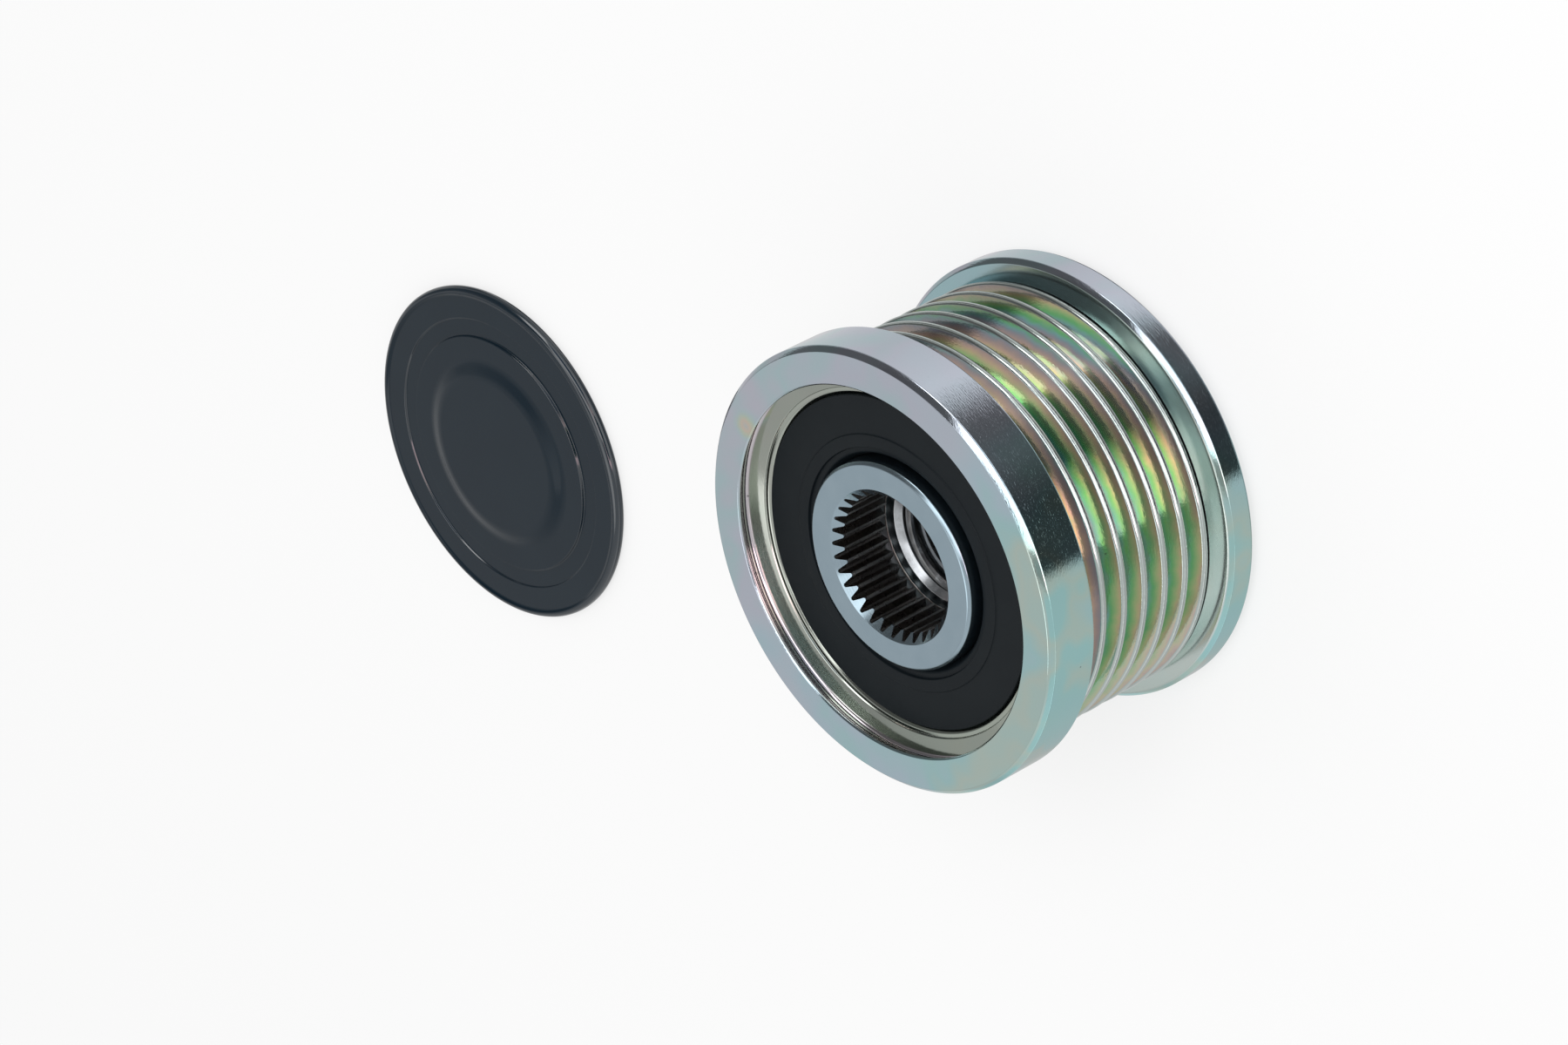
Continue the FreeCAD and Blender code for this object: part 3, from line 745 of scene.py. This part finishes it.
def paint_hub(sheet):
    """Ground steel, painted dark as shade in the socket, with lighter tips: wear and a painted highlight.
    """
    place = Place(sheet)
    marks = sheet.noise_along(place.radius * 1.1 + place.z, 3.0, 4.0)
    cloud = sheet.noise(place.point, 0.35, 3.0)
    mottle = sheet.noise(place.point, 1.6, 4.0)

    below_cone = HUB_FRONT - 0.06 - place.z - (COUNTERSINK_R - place.radius) * SLOPE
    in_socket = sheet.step(below_cone, 0.0, 0.1) * sheet.between(place.z, 24.9, HUB_FRONT - 0.12, 0.03)
    in_socket = in_socket * (1 - sheet.step(place.radius, 10.4, 10.6))
    # The tips of the teeth get a lighter colour that is partly wear and partly a painted highlight.
    on_tips = 1 - sheet.step(place.radius, TOOTH_TIP_R + 0.03, TOOTH_TIP_R + 0.16)
    in_bore = 1 - sheet.step(place.radius, TOOTH_TIP_R - 0.1, TOOTH_TIP_R)
    in_valley = sheet.step(place.radius, 7.45, 7.95)
    in_valley = in_valley * sheet.between(place.z, THREAD_FOOT, THREAD_TOP - 0.1, 0.05)

    # Inside the socket the colour is painted shade, lifted on the tips toward a partly painted highlight.
    shaded_socket = sheet.mix(on_tips * 0.7, sheet.mix(mottle, SOCKET_SHADE_DARK, SOCKET_SHADE_LIGHT), TIP_WEAR_AND_HIGHLIGHT)
    thread = sheet.mix(in_valley * 0.75, sheet.mix(mottle, THREAD_DARK, THREAD_LIGHT), VALLEY_PAINTED_SHADE)
    colour = sheet.mix(in_socket, sheet.mix(cloud, GROUND_DARK, GROUND_LIGHT), shaded_socket)
    colour = sheet.mix(in_bore, colour, thread)
    return {"Base Color": colour, "Roughness": 0.16 + marks * 0.06 + mottle * 0.07 + in_socket * 0.06,
            "Normal": sheet.bump(marks + mottle * 0.5, 0.003)}


hub_steel = material("hub_steel", 1.0, paint_hub)

# %% [markdown]
# ## Rubber and plastic
# The seals are black rubber: matt, very slightly blue, with a fine even texture from the mould. The
# cap is a blue-black satin plastic. Handling has polished the edges of its steps and its rim, which
# a clear coat on those edges alone imitates: they catch the studio's panels as thin bright lines. The
# cages inside are a glass-filled plastic with a faint mottling.

# %% Rubber and plastic
def paint_rubber(sheet):
    place = Place(sheet)
    cloud = sheet.noise(place.point, 0.25, 3.0)
    grain = sheet.noise(place.point, 9.0, 3.0)
    colour = sheet.mix(cloud, (0.0028, 0.0055, 0.0078), (0.0055, 0.0088, 0.0110))
    return {"Base Color": colour, "Roughness": 0.48 + grain * 0.12, "Specular IOR Level": 0.22,
            "Normal": sheet.bump(grain, 0.006)}


def paint_cap(sheet):
    place = Place(sheet, CAP_PLACE)
    cloud = sheet.noise(place.point, 0.12, 3.0)
    grain = sheet.noise(place.point, 7.0, 3.0)
    colour = sheet.mix(cloud, (0.0015, 0.0085, 0.0165), (0.0035, 0.0130, 0.0220))
    edges = sheet.between(place.radius, 17.56, 17.78, 0.03) \
        + sheet.between(place.radius, 20.15, 20.34, 0.03) + sheet.step(place.radius, 24.05, 24.30)
    return {"Base Color": colour, "Roughness": 0.09 + grain * 0.06, "Specular IOR Level": 0.32,
            "Coat Weight": edges * 0.45, "Coat Roughness": 0.05, "Coat IOR": 2.1,
            "Normal": sheet.bump(grain, 0.003)}


def paint_cage(sheet):
    place = Place(sheet)
    speck = sheet.noise(place.point, 2.5, 4.0)
    colour = sheet.mix(speck, (0.20, 0.15, 0.08), (0.30, 0.23, 0.13))
    return {"Base Color": colour, "Roughness": 0.42 + speck * 0.12, "Normal": sheet.bump(speck, 0.01)}


seal_rubber = material("seal_rubber", 0.0, paint_rubber)
cap_plastic = material("cap_plastic", 0.0, paint_cap)
cage_plastic = material("cage_plastic", 0.0, paint_cage)

# %% [markdown]
# ## Giving the finishes to the pieces
# The new pieces get their finish one by one. The hidden pieces of the clutch keep their measured
# meshes, and get a finish by a word in their names. The more exact word stands first in the list, so
# that a needle cage isn't painted as a needle.

# %% Hand out the materials
for piece, finish in ((pulley, plated_steel), (hub, hub_steel), (front_seal, seal_rubber),
                      (rear_seal, seal_rubber), (cap, cap_plastic)):
    piece.data.materials.append(finish)

FINISH_BY_WORD = (("needle_cage", cage_plastic), ("clutch_cage", cage_plastic), ("sleeve", race_steel),
                  ("washer", washer_steel), ("spring", spring_steel), ("needle", roller_steel),
                  ("roller", roller_steel))
for name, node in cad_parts.items():
    found = [finish for word, finish in FINISH_BY_WORD if word in name]
    if found:
        node.data.materials.clear()
        node.data.materials.append(found[0])
print("the finishes are on", sum(bool(node.data.materials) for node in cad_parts.values()),
      "measured pieces")

# %% [markdown]
# ## The studio
# Bright metal shows what is around it, so the studio is drawn as what a reflection finds in each
# direction. It is a pale room with a dark card low in front. Above the card is a warm lamp panel, with
# a bluish dark card and a narrow bright lamp beside it, higher up is a window, and one side is dark.
# For every height there is one ramp that goes once around the compass. Each stop is a bearing in
# degrees and the brightness or colour there, where 1 is the white of the picture and a lamp is
# brighter than that. Real lamps and cards would do too, but edges are easier to place in a list.

# %% Find the direction that a reflection looks in
def around(degrees):
    """A place on a ramp that goes once around, from -180 to 180 degrees."""
    return degrees / 360 + 0.5


def compass(bearing, stops):
    return sky.ramp(bearing, [(around(degrees), brightness) for degrees, brightness in stops])


world = bpy.data.worlds.new("studio")
bpy.context.scene.world = world
sky = Sheet(world)
east, north, rise = sky.apart(sky.node("ShaderNodeTexCoord", output=0))
bearing = north.bearing_from(east) / math.tau + 0.5
print("east lies at", around(0), "of a ramp, and north at", around(90))

# %% [markdown]
# The northern edge of the low dark card leans, so that its reflection runs slantwise over the
# flanges. The bearing there is shifted by three times the height over a level of 39 degrees below the
# horizon. A direction's rise is the sine of its height, which is close to the height in radians, so a
# plain factor is near enough to make degrees of it.

# %% The lower half of the studio
CARD_LEAN, CARD_LEVEL = 3.0, 39
DEGREES_A_RADIAN = 57.3
height_in_degrees = rise * DEGREES_A_RADIAN
shift = (height_in_degrees * CARD_LEAN + CARD_LEAN * CARD_LEVEL) / 360
leaning = bearing - sky.between(bearing, around(50), around(90), 0.02) * shift

on_floor = compass(bearing, [
    (-180, 0.4), (-150, 0.65), (-120, 0.65), (-75, 0.42), (-20, 0.36), (5, 0.25), (35, 0.3),
    (60, 0.5), (75, 0.85), (96, 0.7), (114, 0.25), (140, 0.10), (168, 0.14), (180, 0.4)])
low_card = compass(leaning, [
    (-180, 0.72), (-160, 0.60), (-138, 0.51), (-108, 0.58), (-60, 0.63), (-20.5, 0.60),
    (-18.5, (0.046, 0.050, 0.052)), (14, (0.040, 0.045, 0.047)), (24, 0.066), (40, 0.12),
    (54, 0.12), (62, 0.17), (69, 0.80), (85, 0.82), (130, 0.66), (180, 0.70)])
table_edge = compass(bearing, [
    (-180, 0.62), (-150, 0.55), (-130, 0.75), (-100, 0.62), (-75, 0.45), (-30, 0.6), (-20, 1.2),
    (10, 1.2), (28, 0.8), (60, 0.8), (84, 0.55), (108, 0.42), (132, 0.16), (160, 0.6)])
print("the card's edge leans by", CARD_LEAN, "degrees for each degree of height")

# %% [markdown]
# The upper ramps hold the lamps. The stops of the warm panel and of the bluish card beside it stand
# in lists of their own, because they are colours, and a name says better what they are.

# %% The upper half of the studio
WARM_PANEL = ((3.5, 2.6, 2.8), (3.3, 2.4, 2.5), (2.2, 1.7, 1.7), (0.9, 0.8, 0.8))
BLUE_CARD = ((0.20, 0.24, 0.30), (0.18, 0.22, 0.30), (0.30, 0.34, 0.42))

horizon = compass(bearing, [
    (-180, 0.55), (-120, 0.55), (-85, 1.1), (-50, 1.1), (-36, 0.8), (-22, 1.2), (0, 1.7),
    (50, 1.5), (62, 1.0), (74, 0.9), (86, 0.25), (130, 0.42), (152, 0.5)])
panels = compass(bearing, [
    (-180, 0.6), (-134, 0.5), (-115, 0.65), (-90, 0.75), (-62, 0.7), (-48, 0.66), (-23, 0.66),
    *zip((-20.5, 4, 12, 21), WARM_PANEL), *zip((27, 46, 58), BLUE_CARD),
    (64, 0.9), (67, 3.4), (84, 3.2), (92, 0.4), (104, 0.12), (130, 0.12), (168, 0.16), (176, 0.5)])
window = compass(bearing, [
    (-180, 0.63), (-152, 0.62), (-134, 0.52), (-118, 0.62), (-86, 0.66), (-30, 0.65),
    (-22, 0.34), (-10, 0.4), (-4, 2.1), (64, 2.1), (73, 0.12), (112, 0.1), (150, 0.2), (172, 0.5)])
overhead = compass(bearing, [
    (-180, 0.5), (-138, 1.0), (-115, 1.8), (-60, 1.7), (-37, 1.2), (-8, 1.0), (6, 0.45),
    (22, 0.25), (38, 0.35), (52, 1.0), (62, 1.6), (86, 1.5), (104, 0.6), (130, 0.3), (165, 0.4)])
print("the warm panel reaches", max(WARM_PANEL[0]), "times the white of the picture")

# %% [markdown]
# The ramps fade into each other from the floor to the ceiling. Only a reflection finds all this. The
# camera itself sees plain white, and all other light is an even grey, so that a colour looks as it is
# written.

# %% Stack the ramps and light the world
CEILING = (1.25, 1.25, 1.25)
EVEN_LIGHT = (0.8, 0.8, 0.8)
WHITE = (1, 1, 1)

seen = on_floor
for layer, low, top in ((low_card, -50, -45), (table_edge, -33.5, -30), (horizon, -12, -6),
                        (panels, 3, 7), (window, 28, 34), (overhead, 53, 57), (CEILING, 76, 82)):
    share = sky.step(rise, math.sin(math.radians(low)), math.sin(math.radians(top)))
    seen = sky.mix(share, seen, layer)

camera_ray = sky.node("ShaderNodeLightPath", output="Is Camera Ray")
glossy_ray = sky.node("ShaderNodeLightPath", output="Is Glossy Ray")
light = sky.mix(camera_ray, sky.mix(glossy_ray, EVEN_LIGHT, seen), WHITE)
background = sky.node("ShaderNodeBackground", None, {"Color": light})
sky.node("ShaderNodeOutputWorld", None, {"Surface": background})
print("the studio's world has", len(sky.tree.nodes), "nodes")

# %% [markdown]
# ## The floor
# The floor is pale and takes a soft shadow. Part of its light for the camera is its own, which keeps
# it near white, and it doesn't show in the metal, because the world already draws the floor there.
# From below it is clear, so that the rear end of the pulley can be looked at too.

# %% Lay the floor
FLOOR_HALF_SIDE = 6.0
PAPER_GREY = (0.86, 0.86, 0.86, 1)
GLOW_SHARE = 0.7

floor_mesh = bmesh.new()
bmesh.ops.create_grid(floor_mesh, x_segments=1, y_segments=1, size=FLOOR_HALF_SIDE)
floor_data = bpy.data.meshes.new("floor")
floor_mesh.to_mesh(floor_data)
floor_mesh.free()
floor = bpy.data.objects.new("floor", floor_data)
bpy.context.scene.collection.objects.link(floor)
floor.visible_glossy = False

floor_finish = bpy.data.materials.new("pale_floor")
ground = Sheet(floor_finish)
paper = ground.node("ShaderNodeBsdfDiffuse", None, {"Color": PAPER_GREY})
glow = ground.node("ShaderNodeEmission", None, {"Color": (*WHITE, 1), "Strength": 1.0})
clear = ground.node("ShaderNodeBsdfTransparent")
for_camera = ground.node("ShaderNodeLightPath", output="Is Camera Ray")
lit = ground.node("ShaderNodeMixShader", None, {0: for_camera * GLOW_SHARE, 1: paper, 2: glow})
underside = ground.node("ShaderNodeNewGeometry", output=6)
surface = ground.node("ShaderNodeMixShader", None, {0: underside, 1: lit, 2: clear})
ground.node("ShaderNodeOutputMaterial", None, {"Surface": surface})
floor_data.materials.append(floor_finish)
print("the floor is", 2 * FLOOR_HALF_SIDE, "m wide")

# %% [markdown]
# ## The lamp
# One large soft lamp stands near the camera, so the shadow falls mostly behind the pieces. A small
# lamp would cut a hard shadow, which the picture doesn't have. The Standard view shows every colour
# as it was worked out, without a film look.

# %% Hang the lamp
LAMP_SIDE, LAMP_POWER = 0.5, 4.0
LAMP_PLACE = Vector((0.55, 0.35, 0.75))

lamp = bpy.data.objects.new("soft_lamp", bpy.data.lights.new("soft_lamp", "AREA"))
lamp.data.size = LAMP_SIDE
lamp.data.energy = LAMP_POWER
lamp.location = LAMP_PLACE
lamp.rotation_euler = (-lamp.location).to_track_quat("-Z", "Y").to_euler()
lamp.visible_glossy = False
bpy.context.scene.collection.objects.link(lamp)

bpy.context.scene.view_settings.view_transform = "Standard"
print("the lamp hangs", round(LAMP_PLACE.length, 2), "m from the pulley's foot")
